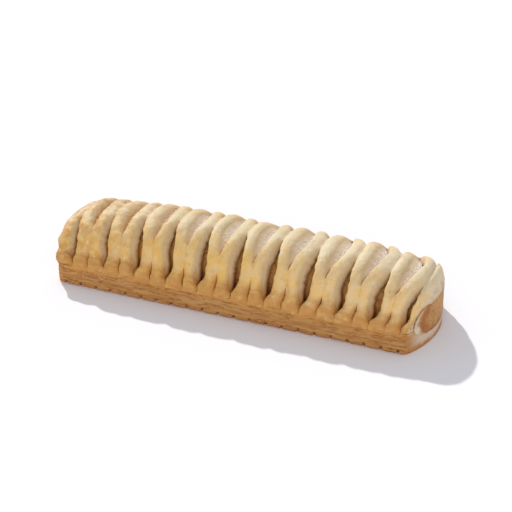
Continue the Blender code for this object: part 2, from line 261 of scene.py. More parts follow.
class RollColours(PropertyGroup):
    glaze: shade("Glaze", "Golden glaze of the strands", "#EABB66")
    deep_glaze: shade("Deep glaze", "Glaze where it has browned more", "#C98F45")
    pale: shade("Pale crust", "Pale crust between the glaze and along the ridge", "#DFCFAC")
    cream: shade("Cream", "Palest crust, towards the right end and in glints on the left", "#F3E5CB")
    flank: shade("Flank", "Bare flank of a strand, under its edge", "#D0B48A")
    # The slit colour is browned pastry, darkened with painted shade where it stands for the depths of the
    # slits; on the knobs at the left end it is browning only
    slit: shade("Slit", "Browned bottom of a slit", "#965C30")
    toe: shade("Toe", "Browner crust where the sheet meets the base", "#CC9350")
    base: shade("Base", "Baked side of the base sheet", "#BD864C")
    base_light: shade("Base leaves", "Paler leaves in the side of the base sheet", "#C6955A")
    base_dark: shade("Base edge", "Browned bottom edge of the base sheet", "#BC7E42")
    dough: shade("Dough", "Soft dough at the cut ends and in torn places", "#EFE2D2")
    crumb: shade("Crumbs", "Whitish crumbs of torn dough in the ridge slits", "#FAF1E6")
    filling: shade("Filling", "Baked filling", "#C68E44")
    filling_rim: shade("Filling rim", "Browned rim of the filling at the cut end", "#A55A18")
    # The filling's own darker specks, and painted shade for its depths in the slits
    filling_dark: shade("Filling depths", "Specks of the filling and its depths in the slits", "#80401C")


class StageSettings(PropertyGroup):
    azimuth: angle("Azimuth", "Camera's turn round the roll", 22.54)
    elevation: angle("Elevation", "Camera's height angle", 28.28)
    distance: length("Distance", "Camera's distance from its target", 0.600)
    lens: amount("Lens", "Focal length in millimetres", 107.29)
    key_strength: amount("Key", "Strength of the key light", 2.55)
    front_strength: amount("Front", "Strength of the soft light from the front", 0.8)
    fill_strength: amount("Fill", "Strength of the soft light from all round", 0.55)
    floor: shade("Floor", "Plain pale floor", "#F5F4F6")


CAMERA_TARGET = (0.00271, 0.0, 0.01713)
SENSOR_WIDTH = 36.0
# Direction of each light, and the angle over which it spreads: a crisp key and a soft front
KEY = ((0.94, -0.91, -1.0), 0.03)
FRONT = ((-0.35, 1.0, -0.35), 1.2)
FLOOR_HALF_SIZE = 3.0
SOFT_LIGHT = (0.97, 0.99, 1.06, 1.0)


# Surfaces of the roll

def share_between(value, start, full):
    """Nought up to the start, one from where it is full, and even in between."""
    return np.clip((value - start) / (full - start), 0.0, 1.0)


def plan(along, across):
    """The end faces bow outwards: off the middle line, a place is drawn back towards the roll's middle."""
    set_back = np.where(along > 0, CORNER_SET_BACK[0], CORNER_SET_BACK[1])
    return along * (1 - set_back / half_length * (across / half_width) ** 2)


def sink(along):
    """How far the ridge has sunk at this place along the roll."""
    end = np.where(along > 0, 0, 1)
    start, stop = np.array(DIP_START)[end], np.array(DIP_END)[end]
    to_end = half_length - np.abs(along)
    dip = share_between(to_end, start, stop)
    drop = np.clip(1 - to_end / np.array(DROP_REACH)[end], 0.0, 1.0)
    fallen = np.array(DROP)[end] * drop ** np.array(DROP_POWER)[end]
    return np.array(DIP)[end] * dip ** 2 * (3 - 2 * dip) + fallen


def creased_roof(along, arc):
    side = np.where(arc < ridge_arc, -1.0, 1.0)
    arc = np.maximum(np.minimum(arc, 2 * ridge_arc - arc), 0.0)
    shoulder = SHOULDER_HEIGHT - sink(along) * SHOULDER_SHARE_OF_SINK
    share = np.maximum(arc - TOE_HEIGHT, 0.0) / seam_run
    seam_across = half_width - SEAM_WIDTH * share
    seam_height = SEAM_HEIGHT + (shoulder - SEAM_HEIGHT) * share - np.maximum(TOE_HEIGHT - arc, 0.0)
    angle = np.interp(arc - shoulder_arc, dome_arcs, dome_angles)
    cosine = np.clip(np.cos(angle), 0.0, 1.0)
    dome_height = shoulder + (ROLL_HEIGHT - sink(along) - shoulder) * np.sin(angle) ** DOME_POWER
    on_seam = arc < shoulder_arc
    across = np.where(on_seam, seam_across, shoulder_half_width * cosine ** DOME_POWER)
    height = np.where(on_seam, seam_height, dome_height)
    return np.stack([plan(along, across), side * across, height], axis=-1)


def roof(along, arc):
    """The roll's top surface, where arc is the distance over the roof from the near edge of the sheet."""
    reach = np.clip(np.minimum(arc, 2 * ridge_arc - arc), 0.0, CREASE_SOFTNESS)
    around = creased_roof(along, arc - reach) + creased_roof(along, arc + reach)
    return creased_roof(along, arc) / 2 + around / 4


def roof_normal(along, arc):
    """Outward direction within the section."""
    before = roof(along, np.maximum(arc - NORMAL_REACH, 0.0))
    after = roof(along, np.minimum(arc + NORMAL_REACH, 2 * ridge_arc))
    normal = np.stack([np.zeros_like(arc), before[..., 2] - after[..., 2], after[..., 1] - before[..., 1]],
                      axis=-1)
    return normal / np.linalg.norm(normal, axis=-1, keepdims=True)


def interpolate(pairs, place):
    places, values = zip(*pairs)
    return np.interp(place, places, values)


def slit_openings(rows):
    """Full width of each line's slit at each row: side slits on odd lines, ridge and toe slits on others."""
    openings = np.zeros((STRANDS + 1, len(rows)))
    arcs = np.minimum(rows, 2 * ridge_arc - rows)
    for line in range(1, STRANDS):
        share = line / STRANDS
        stretched = LEFT_OPENING + (1 - LEFT_OPENING) * min(share / FULL_OPENING_PLACE, 1.0)
        near, far = (1 + OPENING_UNEVENNESS * noise.noise(Vector((line * 2.3, place, 0.5)))
                     for place in (0.0, 50.0))
        stretched = stretched * np.where(rows > ridge_arc, far, near)
        if line == STRANDS - 1:
            stretched = stretched * LAST_SLIT_SHARE
        if line % 2:
            shorter = 1 + SIDE_SLIT_SHORTER * max(share - SHORTER_FROM, 0.0) / (1 - SHORTER_FROM)
            openings[line] = stretched * interpolate(SIDE_SLIT, arcs * shorter)
        else:
            toe = interpolate(TOE_SLIT, arcs)
            ridge = interpolate(RIDGE_SLIT, arcs + RIDGE_SLIT_LEAN * (share - 0.5))
            openings[line] = np.where(toe > 0, toe, stretched * ridge)
        padded = np.pad(openings[line], SOFTENED_ROWS // 2, mode="edge")
        softened = np.convolve(padded, np.ones(SOFTENED_ROWS) / SOFTENED_ROWS, mode="valid")
        openings[line] = np.where(openings[line] > 0, softened, 0.0)
    return openings


def slit_lines(rows):
    """Place along the roll of each line's middle at each row. The sheet was stretched unevenly."""
    lines = np.zeros((STRANDS + 1, len(rows)))
    for line in range(STRANDS + 1):
        share = line / STRANDS
        lines[line] = -half_length + ROLL_LENGTH * share
        if line not in (0, STRANDS):
            shift = LINE_SHIFT + STRETCH_SHIFT * math.exp(-((share - STRETCH_PLACE) / STRETCH_SPREAD) ** 2)
            wander = [noise.noise(Vector((line * 3.7, row * WANDER_FREQUENCY, 0.5))) for row in rows]
            lines[line] += shift + LINE_WANDER * np.array(wander)
    return lines


def filling_underside(across):
    share = np.minimum(np.abs(across) / FILLING_HALF_WIDTH, 1.0)
    cosine = share ** (1 / FILLING_BOTTOM_POWER)
    depth = FILLING_MIDDLE_HEIGHT - BASE_MIDDLE_HEIGHT - GAP
    return FILLING_MIDDLE_HEIGHT - depth * (1 - cosine ** 2) ** (FILLING_BOTTOM_POWER / 2)


def base_top(across):
    """Upper side of the base sheet: flat under the seam, a low lip, then moulded to the filling."""
    across = np.abs(across)
    edge = BASE_EDGE_HEIGHT + LIP_HEIGHT * np.maximum(1 - ((across - LIP_PLACE) / LIP_HALF_WIDTH) ** 2, 0.0)
    return np.where(across >= FILLING_HALF_WIDTH, edge, np.minimum(edge, filling_underside(across) - GAP))


def wavering(rows, frequency, seed, size):
    """Smooth noise along the rows, one curve of the given size for each line of the lattice."""
    return size * np.array([[noise.noise(Vector((row * frequency, seed, line * 5.1))) for row in rows]
                            for line in range(STRANDS + 1)])


def rounding(distance, edge):
    """Drop of a rounded edge of the given depth and reach, at a distance from it."""
    depth, reach = edge
    inside = np.maximum(1 - distance / reach, 0.0)
    return depth * (1 - np.sqrt(1 - inside * inside))


def slope(distance, edge):
    """Drop of an edge that eases into a straight slope."""
    depth, reach = edge
    return depth * np.maximum(1 - distance / reach, 0.0) ** 2


def valley(distance, edge):
    """Drop of a round-bottomed groove."""
    depth, reach = edge
    return depth * np.cos(math.pi / 2 * np.minimum(distance / reach, 1.0)) ** 2


def end_share(column):
    """How far bare dough takes over from the last strand, at a share of its width."""
    return share_between(column, *END_STEP_PLACE)


def drawn_in(along):
    """Share of its width that the pastry keeps where its upright corners round over."""
    return 1 - rounding(half_length - np.abs(along), CORNER_EDGE) / half_width


# Meshes

def mesh_object(name, places, faces, attributes):
    """Make a smooth mesh object whose faces point outwards, with one float attribute for each name given."""
    mesh = bpy.data.meshes.new(name)
    mesh.from_pydata(places.tolist(), [], faces)
    for label, values in attributes.items():
        layer = mesh.attributes.new(label, "FLOAT", "POINT")
        layer.data.foreach_set("value", np.asarray(values, np.float32))
    edit = bmesh.new()
    edit.from_mesh(mesh)
    bmesh.ops.recalc_face_normals(edit, faces=edit.faces)
    edit.to_mesh(mesh)
    edit.free()
    mesh.shade_smooth()
    made = bpy.data.objects.new(name, mesh)
    bpy.context.scene.collection.objects.link(made)
    return made


class LatticeMesh:
    """The slit sheet as a grid of strands by rows: outer and hollow skins, and walls round every slit.

    Each vertex is kept as a place along the roll, an arc over the roof, a depth under it, whether it lies on
    the hollow side, its share of the strand's width, its line and side, and how open the slit there is. Wall
    vertices lie between an outer and a hollow one.
    """

    def __init__(self):
        self.rows = np.linspace(0.0, 2 * ridge_arc, SHEET_ROWS)
        self.openings = slit_openings(self.rows)
        self.lines = slit_lines(self.rows)
        self.open_share = np.clip(self.openings / FULLY_OPEN, 0.0, 1.0)
        self.left_edge = self.lines + self.openings / 2
        self.left_edge += self.open_share * wavering(self.rows, WAVER_FREQUENCY, 3.3, EDGE_WAVER)
        self.right_edge = self.lines - self.openings / 2
        self.right_edge += self.open_share * wavering(self.rows, WAVER_FREQUENCY, 9.9, EDGE_WAVER)
        self.heave = wavering(self.rows, HEAVE_FREQUENCY, 21.0, STRAND_HEAVE)
        self.line_heave = wavering(self.rows, HEAVE_FREQUENCY, 33.0, STRAND_HEAVE)
        self.open_share[[0, STRANDS]] = 1.0
        nearest = np.minimum(self.rows, 2 * ridge_arc - self.rows)
        self.knuckle = KNUCKLE_RISE * np.exp(-((nearest - KNUCKLE_ARC) / KNUCKLE_REACH) ** 2)
        self.knuckle += TOE_PUSH * np.exp(-(nearest / TOE_PUSH_REACH) ** 2)
        self.surface = []
        self.between = []
        self.index = {}
        self.faces = []

    def vertex(self, key, kept, values):
        if key not in self.index:
            self.index[key] = (kept is self.between, len(kept))
            kept.append(values)
        return key

    def fall(self, line, row, side, distance):
        """Drop of the outer skin at a distance from a line, to the line's right where side is 1."""
        share = self.open_share[line, row]
        if side > 0:
            opened = rounding(distance, LEFT_EDGE)
        elif line == STRANDS:
            opened = rounding(distance, END_EDGE) + END_STEP * end_share(1 - distance * STRANDS / ROLL_LENGTH)
        else:
            opened = slope(distance, RIGHT_EDGES[line % 2])
        joined = LAST_VALLEY if line == STRANDS - 1 else JOINED_EDGES[line % 2]
        return valley(distance, joined) * (1 - share) + opened * share

    def edge(self, line, row, side):
        """Keys down a strand's edge from the outer skin to the hollow one, shared where the slit is shut."""
        opening = self.openings[line, row]
        is_end = line in (0, STRANDS)
        shut = opening == 0.0 and not is_end
        key = (line, row, 0 if shut else side)
        share = self.open_share[line, row]
        drop = self.fall(line, row, side, 0.0) + CAMBER * share - self.line_heave[line, row]
        place = (self.left_edge if side > 0 else self.right_edge)[line, row]
        lean = -UPRIGHT_SLOPE if side > 0 else SIDE_SLIT_SLOPE if line % 2 else RIDGE_SLIT_SLOPE
        across = 0.0 if side > 0 else 1.0
        arc = self.rows[row]
        outer = self.vertex(("outer",) + key, self.surface, (place, arc, drop, 0, across, line, side, share))
        inner = self.vertex(("hollow",) + key, self.surface,
                            (place + lean * opening, arc, 0.0, 1, across, line, side, share))
        if not is_end and self.openings[line, max(row - 1, 0):row + 2].max() == 0:
            return [outer, inner]
        push = -side * FLANK_BULGE * share
        steps = [self.vertex(("wall", step) + key, self.between, (outer, inner, step / WALL_STEPS, push))
                 for step in range(1, WALL_STEPS)]
        return [outer] + steps + [inner]

    def section(self, strand, row):
        """Keys across a strand's outer skin and its hollow one, from left to right."""
        left, right = self.left_edge[strand, row], self.right_edge[strand + 1, row]
        left_keys, right_keys = self.edge(strand, row, 1), self.edge(strand + 1, row, -1)
        width = right - left
        outer = [left_keys[0]]
        for column in LAST_STRAND_COLUMNS if strand == STRANDS - 1 else STRAND_COLUMNS:
            drop = self.fall(strand, row, 1, column * width)
            drop += self.fall(strand + 1, row, -1, (1 - column) * width)
            rise = (self.heave[strand, row] + self.knuckle[row]) * math.sin(math.pi * column)
            rise += self.line_heave[strand, row] * (1 - column) + self.line_heave[strand + 1, row] * column
            near_line = strand if column < 0.5 else strand + 1
            drop += CAMBER * self.open_share[near_line, row] * (1 - 2 * column) ** 2
            share = self.open_share[strand, row] * (1 - column) + self.open_share[strand + 1, row] * column
            outer.append(self.vertex(("crown", strand, row, column), self.surface,
                                     (left + width * column, self.rows[row], drop - rise, 0, column,
                                      strand + 0.5, 0, share)))
        outer.append(right_keys[0])
        lean = RIDGE_SLIT_SLOPE if strand % 2 else SIDE_SLIT_SLOPE
        inner_left = left - UPRIGHT_SLOPE * self.openings[strand, row]
        inner_right = right + lean * self.openings[strand + 1, row]
        hollow = [left_keys[-1]]
        for column in HOLLOW_COLUMNS:
            place = inner_left + (inner_right - inner_left) * column
            hollow.append(self.vertex(("under", strand, row, column), self.surface,
                                      (place, self.rows[row], 0.0, 1, column, strand + 0.5, 0, 0.0)))
        hollow.append(right_keys[-1])
        return outer, hollow

    def build_faces(self):
        for strand in range(STRANDS):
            sections = [self.section(strand, row) for row in range(SHEET_ROWS)]
            for row in range(SHEET_ROWS - 1):
                for skin, next_skin in zip(sections[row], sections[row + 1]):
                    for n in range(len(skin) - 1):
                        self.faces.append((skin[n], skin[n + 1], next_skin[n + 1], next_skin[n]))
                for line, side in ((strand, 1), (strand + 1, -1)):
                    if line in (0, STRANDS) or self.openings[line, row:row + 2].max() > 0:
                        wall, next_wall = self.edge(line, row, side), self.edge(line, row + 1, side)
                        for n in range(WALL_STEPS):
                            self.faces.append((wall[n], next_wall[n], next_wall[n + 1], wall[n + 1]))
            for row in (0, SHEET_ROWS - 1):
                outer, hollow = sections[row]
                left, right = self.edge(strand, row, 1), self.edge(strand + 1, row, -1)
                self.faces.append(tuple(outer + right[1:-1] + hollow[::-1] + left[1:-1][::-1]))

    def make_object(self, name):
        self.build_faces()
        along, arc, depth, hollow, across, line, side, share = np.array(self.surface, float).T
        depth = np.where(hollow > 0, SHEET_THICKNESS, depth)
        places = roof(along, arc) - roof_normal(along, arc) * depth[:, None]
        nearest = np.minimum(arc, 2 * ridge_arc - arc)
        heel_across = half_width + (HEEL_HALF_WIDTH - half_width) * nearest / HEEL_ARC
        heel_side = np.where(arc < ridge_arc, -1.0, 1.0)
        heel_height = base_top(heel_across) - EMBED
        heel = np.stack([plan(along, heel_across), heel_side * heel_across, heel_height], axis=-1)
        places = np.where(((hollow > 0) & (nearest <= HEEL_ARC))[:, None], heel, places)
        places[:, 1] *= drawn_in(along)
        outer = np.array([self.index[item[0]][1] for item in self.between])
        inner = np.array([self.index[item[1]][1] for item in self.between])
        wall_share, bulge = np.array([item[2:] for item in self.between], float).T
        walls = places[outer] * (1 - wall_share)[:, None] + places[inner] * wall_share[:, None]
        walls[:, 0] += np.sin(math.pi * wall_share) * bulge
        arcs, lines, sides, strand_shares, open_shares = (
            np.concatenate([values, values[outer]]) for values in (nearest, line, side, across, share))
        ridge_slit = (lines % 2 == 0) & (lines > 0) & (lines < STRANDS) & (arcs > TOE_SLIT[-1][0])
        down_wall = share_between(np.concatenate([hollow, wall_share]), *TORN_WALL)
        count = len(self.surface)
        seated = np.clip(nearest / HEEL_ARC, 0.0, 1.0)
        places = np.concatenate([places, walls])
        knob = np.zeros(len(places))
        for middle, reach, push, brownness in KNOBS:
            near = np.exp(-(np.linalg.norm(places - np.array(middle), axis=1) / reach) ** 2)
            places += near[:, None] * np.array(push)
            knob += near * brownness
        rough = np.ones(len(places))
        for start, end_of_roll, roughness in ROUGH_ENDS:
            rough += roughness * share_between(places[:, 0], start, end_of_roll)
        place_of = {key: number + count * between for key, (between, number) in self.index.items()}
        faces = [tuple(dict.fromkeys(place_of[key] for key in face)) for face in self.faces]
        attributes = {
            "arc": arcs * MILLIMETRES,
            "wall": np.concatenate([hollow * seated, wall_share * np.maximum(seated[outer], LEAST_WALL_SHARE)
                                    * (nearest[outer] > 0)]),
            "ridge_slit": ridge_slit,
            "end": np.concatenate([np.where(line > STRANDS - 1, end_share(across), hollow * (line == 0)),
                                   np.isin(line[outer], (0, STRANDS))]),
            "knob": knob,
            "across": strand_shares,
            "open": np.where(lines > STRANDS - 1, 0.0, open_shares),
            "torn": np.where(ridge_slit & (sides < 0), down_wall, 0.0),
            "loose": np.concatenate([1 - hollow, 1 - WALL_RELIEF_LOSS * wall_share]) * rough,
        }
        return mesh_object(name, places, faces, attributes)


def stations(count):
    """Places along the roll, closer together towards the ends."""
    even = np.linspace(-1.0, 1.0, count)
    return half_length * ((1 - CROWDING) * even + CROWDING * np.sin(math.pi / 2 * even))


def ring_faces(count, size):
    """Faces between rings of the given size, one after the other along the roll."""
    steps = [(step, (step + 1) % size) for step in range(size)]
    return [(first + step, first + after, first + size + after, first + size + step)
            for first in range(0, (count - 1) * size, size) for step, after in steps]


def make_filling_mesh(name):
    """A soft log. Each end is closed by upright strips, so it bows outwards like the pastry round it."""
    along = stations(FILLING_STATIONS)[:, None] * (1 - FILLING_RECESS / half_length)
    angles = np.linspace(0.0, 2 * math.pi, FILLING_SIDES, endpoint=False)[None, :]
    cosine, sine = np.cos(angles), np.sin(angles)
    top = ROLL_HEIGHT - sink(along) - SHEET_THICKNESS - GAP - FILLING_LUMP - FILLING_MIDDLE_HEIGHT
    bottom = FILLING_MIDDLE_HEIGHT - BASE_MIDDLE_HEIGHT - GAP
    power = np.where(sine >= 0, FILLING_TOP_POWER, FILLING_BOTTOM_POWER)
    flare = np.clip(1 - (half_length - np.abs(along)) / FLARE_REACH, 0.0, 1.0)
    top = top + FLARE_RISE * flare
    across = FILLING_HALF_WIDTH * (1 + FILLING_FLARE * flare) * np.sign(cosine) * np.abs(cosine) ** power
    upward = np.where(sine >= 0, top, bottom) * np.sign(sine) * np.abs(sine) ** power
    rings = np.stack([plan(along + 0 * across, across), across, FILLING_MIDDLE_HEIGHT + upward], axis=-1)
    places = [rings.reshape(-1, 3)]
    faces = ring_faces(FILLING_STATIONS, FILLING_SIDES)
    half = FILLING_SIDES // 2
    count = FILLING_STATIONS * FILLING_SIDES
    end = np.zeros(count)
    end[:FILLING_SIDES] = end[-FILLING_SIDES:] = 1.0
    for first in (0, count - FILLING_SIDES):
        columns = []
        for step in range(half + 1):
            upper, lower = first + step, first + (FILLING_SIDES - step) % FILLING_SIDES
            if upper == lower:
                columns.append([upper] * (FILLING_CAP_ROWS + 1))
                continue
            inner = np.linspace(places[0][upper], places[0][lower], FILLING_CAP_ROWS + 1)[1:-1]
            columns.append([upper] + list(range(count, count + len(inner))) + [lower])
            places.append(inner)
            count += len(inner)
        for left, right in zip(columns, columns[1:]):
            for n in range(FILLING_CAP_ROWS):
                face = tuple(dict.fromkeys((left[n], right[n], right[n + 1], left[n + 1])))
                if len(face) > 2:
                    faces.append(face)
    end = np.concatenate([end, np.ones(count - len(end))])
    crest = np.zeros(count)
    crest[:sine.size * FILLING_STATIONS] = np.tile(sine.ravel(), FILLING_STATIONS)
    attributes = {"end": end, "crest": crest, "loose": np.ones(count)}
    return mesh_object(name, np.concatenate(places), faces, attributes)


def make_base_mesh(name):
    """The base sheet: rings along the roll, and a grid over each cut end."""
    columns = np.array([-across for across in BASE_COLUMNS[::-1]] + list(BASE_COLUMNS[1:]))
    count = len(columns)
    rows = BASE_SIDE_ROWS + 2
    share = np.linspace(0.0, 1.0, rows)[None, :]
    height = base_top(columns)[:, None] * (1 - share)
    across = columns[:, None] + 0 * share
    edge_height = BASE_EDGE_HEIGHT * (1 - share[0])
    inset = rounding(edge_height, (BOTTOM_ROUNDING, BOTTOM_ROUNDING))
    inset += rounding(BASE_EDGE_HEIGHT - edge_height, (TOP_ROUNDING, TOP_ROUNDING))
    across[0] = -half_width + inset
    across[-1] = half_width - inset
    ring_cells = [(c, 0) for c in range(count)] + [(count - 1, r) for r in range(1, rows - 1)]
    ring_cells += [(c, rows - 1) for c in reversed(range(count))]
    ring_cells += [(0, r) for r in reversed(range(1, rows - 1))]
    along = stations(BASE_STATIONS)[:, None]
    cell_columns, cell_rows = np.array(ring_cells).T
    ring_across, ring_height = across[cell_columns, cell_rows], height[cell_columns, cell_rows]
    rings = np.stack([plan(along + 0 * ring_across, ring_across), ring_across * drawn_in(along),
                      ring_height + 0 * along], axis=-1)
    size = len(ring_cells)
    places = [rings.reshape(-1, 3)]
    side = np.isin(cell_columns, (0, count - 1)).astype(float)
    sides = [np.tile(side, BASE_STATIONS)]
    at_end = np.isin(np.arange(BASE_STATIONS), (0, BASE_STATIONS - 1))[:, None]
    ends = [(at_end * share_between(np.abs(ring_across), half_width, half_width - END_FADE)).ravel()]
    faces = ring_faces(BASE_STATIONS, size)
    total = BASE_STATIONS * size
    for first, place in ((0, -half_length), (total - size, half_length)):
        cell = {pair: first + number for number, pair in enumerate(ring_cells)}
        for c in range(1, count - 1):
            for r in range(1, rows - 1):
                cell[c, r] = total
                total += 1
        inner_across, inner_height = across[1:-1, 1:-1], height[1:-1, 1:-1]
        inner = np.stack([plan(place + 0 * inner_across, inner_across), inner_across * drawn_in(place),
                          inner_height], axis=-1)
        places.append(inner.reshape(-1, 3))
        sides.append(np.zeros(inner_across.size))
        ends.append(share_between(np.abs(inner_across), half_width, half_width - END_FADE).ravel())
        for c in range(count - 1):
            for r in range(rows - 1):
                faces.append((cell[c, r], cell[c + 1, r], cell[c + 1, r + 1], cell[c, r + 1]))
    values = {"side": np.concatenate(sides), "end": np.concatenate(ends), "loose": np.ones(total)}
    return mesh_object(name, np.concatenate(places), faces, values)


# Nodes

SHARP_ANGLE = math.radians(55.0)
# Nodes by a plain word: type, settings, the sockets that values go to in turn, and output, or None for all
CALCULATIONS = ("add", "subtract", "multiply", "divide", "power", "maximum", "absolute", "round", "sign")
KINDS = {word: ("ShaderNodeMath", {"operation": word.upper()}, (0, 1), 0) for word in CALCULATIONS}
KINDS.update({
    "ramp": ("ShaderNodeMapRange", {"interpolation_type": "SMOOTHSTEP"},
             ("Value", "From Min", "From Max"), 0),
    "mix": ("ShaderNodeMix", {"data_type": "RGBA"}, (0, 6, 7), 2),
    "attribute": ("ShaderNodeAttribute", {}, (), "Fac"),
    "coordinates": ("ShaderNodeTexCoord", {}, (), "Object"),
    "mapping": ("ShaderNodeMapping", {}, ("Vector", "Scale"), 0),
    "noise": ("ShaderNodeTexNoise", {}, ("Vector", "Scale", "Detail"), 0),
    "seeded noise": ("ShaderNodeTexNoise", {"noise_dimensions": "4D"},
                     ("Vector", "W", "Scale", "Detail", "Roughness"), 0),
    "bump": ("ShaderNodeBump", {}, ("Height", "Strength", "Distance"), 0),
    "separate": ("ShaderNodeSeparateXYZ", {}, (0,), None),
    "combine": ("ShaderNodeCombineXYZ", {}, (0, 1, 2), 0),
    "scale": ("ShaderNodeVectorMath", {"operation": "SCALE"}, (0, "Scale"), 0),
    "position": ("GeometryNodeInputPosition", {}, (), 0),
    "normal": ("GeometryNodeInputNormal", {}, (), 0),
    "read": ("GeometryNodeInputNamedAttribute", {"data_type": "FLOAT"}, ("Name",), 0),
    "store": ("GeometryNodeStoreNamedAttribute", {"data_type": "FLOAT", "domain": "POINT"},
              ("Geometry", "Name", "Value"), 0),
    "move": ("GeometryNodeSetPosition", {}, ("Geometry", "Offset"), 0),
    "scatter": ("GeometryNodeDistributePointsOnFaces", {}, ("Mesh", "Density", "Seed"), None),
    "crumb": ("GeometryNodeMeshIcoSphere", {}, ("Radius", "Subdivisions"), 0),
    "random": ("FunctionNodeRandomValue", {"data_type": "FLOAT_VECTOR"}, ("Min", "Max"), 0),
    "instances": ("GeometryNodeInstanceOnPoints", {}, ("Points", "Instance", "Rotation", "Scale"), 0),
    "realize": ("GeometryNodeRealizeInstances", {}, ("Geometry",), 0),
    "material": ("GeometryNodeSetMaterial", {}, ("Geometry", "Material"), 0),
    "inputs": ("NodeGroupInput", {}, (), None),
    "result": ("NodeGroupOutput", {}, ("Geometry",), None),
})

# Inputs of the Geometry Nodes trees, each a size or a seed of RollSizes
RELIEF_INPUTS = ("Blister Size", "Blister Depth", "Grain Size", "Grain Depth", "Seed")
LEAF_INPUTS = ("Leaf Height", "Leaf Run", "Leaf Depth", "Mark Pitch", "Mark Start", "Mark Width",
               "Mark Height", "Mark Depth")
CRUMB_INPUTS = ("Crumb Size", "Crumb Density", "Seed")
RELIEF_DETAIL = {"Blister": 1.5, "Grain": 3.0}
# The leaves wander up and down by swellings of this width and height, and one ends where the noise, of this
# scale, detail and roughness, lies between two levels. They fade out between two heights
LEAF_WARP = (0.012, 0.0030)
LEAF_CROSS_SCALE = 300.0
LEAF_NOISE = (1.0, 2.0, 0.6)
LEAF_LEVELS = (0.38, 0.56)
LEAF_FADE = (0.0094, 0.0078)
# A belt mark narrows upwards, and its sides and its top are soft
MARK_HALF_SHARE = 0.62
MARK_NARROWING = 0.12
MARK_FLAT_SHARE = 0.6
MARK_TOP_SHARE = 0.75
# Least and greatest stretch of a crumb along each of its axes
CRUMB_STRETCH = ((0.5, 0.5, 0.4), (1.7, 1.3, 1.1))


def add_node(tree, kind, *values, **settings):
    """Add a node by its word in KINDS, with its settings, and give its output.

    Values, plain ones or other nodes' outputs, go to its sockets in turn. Any left over go to another such
    node behind it, so one call adds or multiplies several.
    """
    node_type, fixed, sockets, output = KINDS[kind]
    made = tree.nodes.new(node_type)
    for name, value in {**fixed, **settings}.items():
        setattr(made, name, value)
    for socket, value in zip(sockets, values):
        if isinstance(value, bpy.types.NodeSocket):
            tree.links.new(value, made.inputs[socket])
        else:
            made.inputs[socket].default_value = value
    if len(values) > len(sockets):
        return add_node(tree, kind, made.outputs[output], *values[len(sockets):])
    return made.outputs if output is None else made.outputs[output]


def new_shape_tree(name, inputs):
    """Start a Geometry Nodes tree: a geometry in and out, a material, and an input for each size and seed."""
    tree = bpy.data.node_groups.new(name, "GeometryNodeTree")
    for label in ("Geometry", *inputs, "Material"):
        kind = {"Geometry": "Geometry", "Material": "Material"}.get(label, "Float")
        tree.interface.new_socket(label, in_out="INPUT", socket_type="NodeSocket" + kind)
    tree.interface.new_socket("Geometry", in_out="OUTPUT", socket_type="NodeSocketGeometry")
    node = partial(add_node, tree)
    return tree, node, node("inputs")


def apply_tree(made, tree, sizes, material, blister_share=1.0):
    """Give the tree its material and sizes by socket identifier, then keep what it makes as a plain mesh."""
    modifier = made.modifiers.new(tree.name, "NODES")
    modifier.node_group = tree
    values = {name.replace("_", " ").title(): float(getattr(sizes, name))
              for name in RollSizes.__annotations__}
    values["Blister Depth"] *= blister_share
    values["Material"] = material
    for item in tree.interface.items_tree:
        if item.in_out == "INPUT" and item.name in values:
            modifier[item.identifier] = values[item.name]
    depsgraph = bpy.context.evaluated_depsgraph_get()
    mesh = bpy.data.meshes.new_from_object(made.evaluated_get(depsgraph), preserve_all_data_layers=True,
                                           depsgraph=depsgraph)
    made.modifiers.remove(modifier)
    made.data = mesh
    mesh.shade_smooth()
    mesh.set_sharp_from_angle(angle=SHARP_ANGLE)


def swelling(node, place, size, depth, seed, detail):
    """Noise of the given width and height, as much inwards as outwards."""
    texture = node("seeded noise", place, seed, node("divide", 1.0, size), detail)
    return node("multiply", node("subtract", texture, 0.5), depth)


def finish_crust(node, given, geometry):
    """Raise soft blisters and a fine grain along the normals, as strongly as the attribute loose says."""
    place = node("position")
    blister, grain = (
        swelling(node, place, given[kind + " Size"], given[kind + " Depth"], given["Seed"], detail)
        for kind, detail in RELIEF_DETAIL.items())
    height = node("multiply", node("add", blister, grain), node("read", "loose"))
    raised = node("move", geometry, node("scale", node("normal"), height))
    node("result", node("material", node("realize", raised), given["Material"]))


def crust_tree():
    tree, node, given = new_shape_tree("Crust relief", RELIEF_INPUTS)
    finish_crust(node, given, given["Geometry"])
    return tree


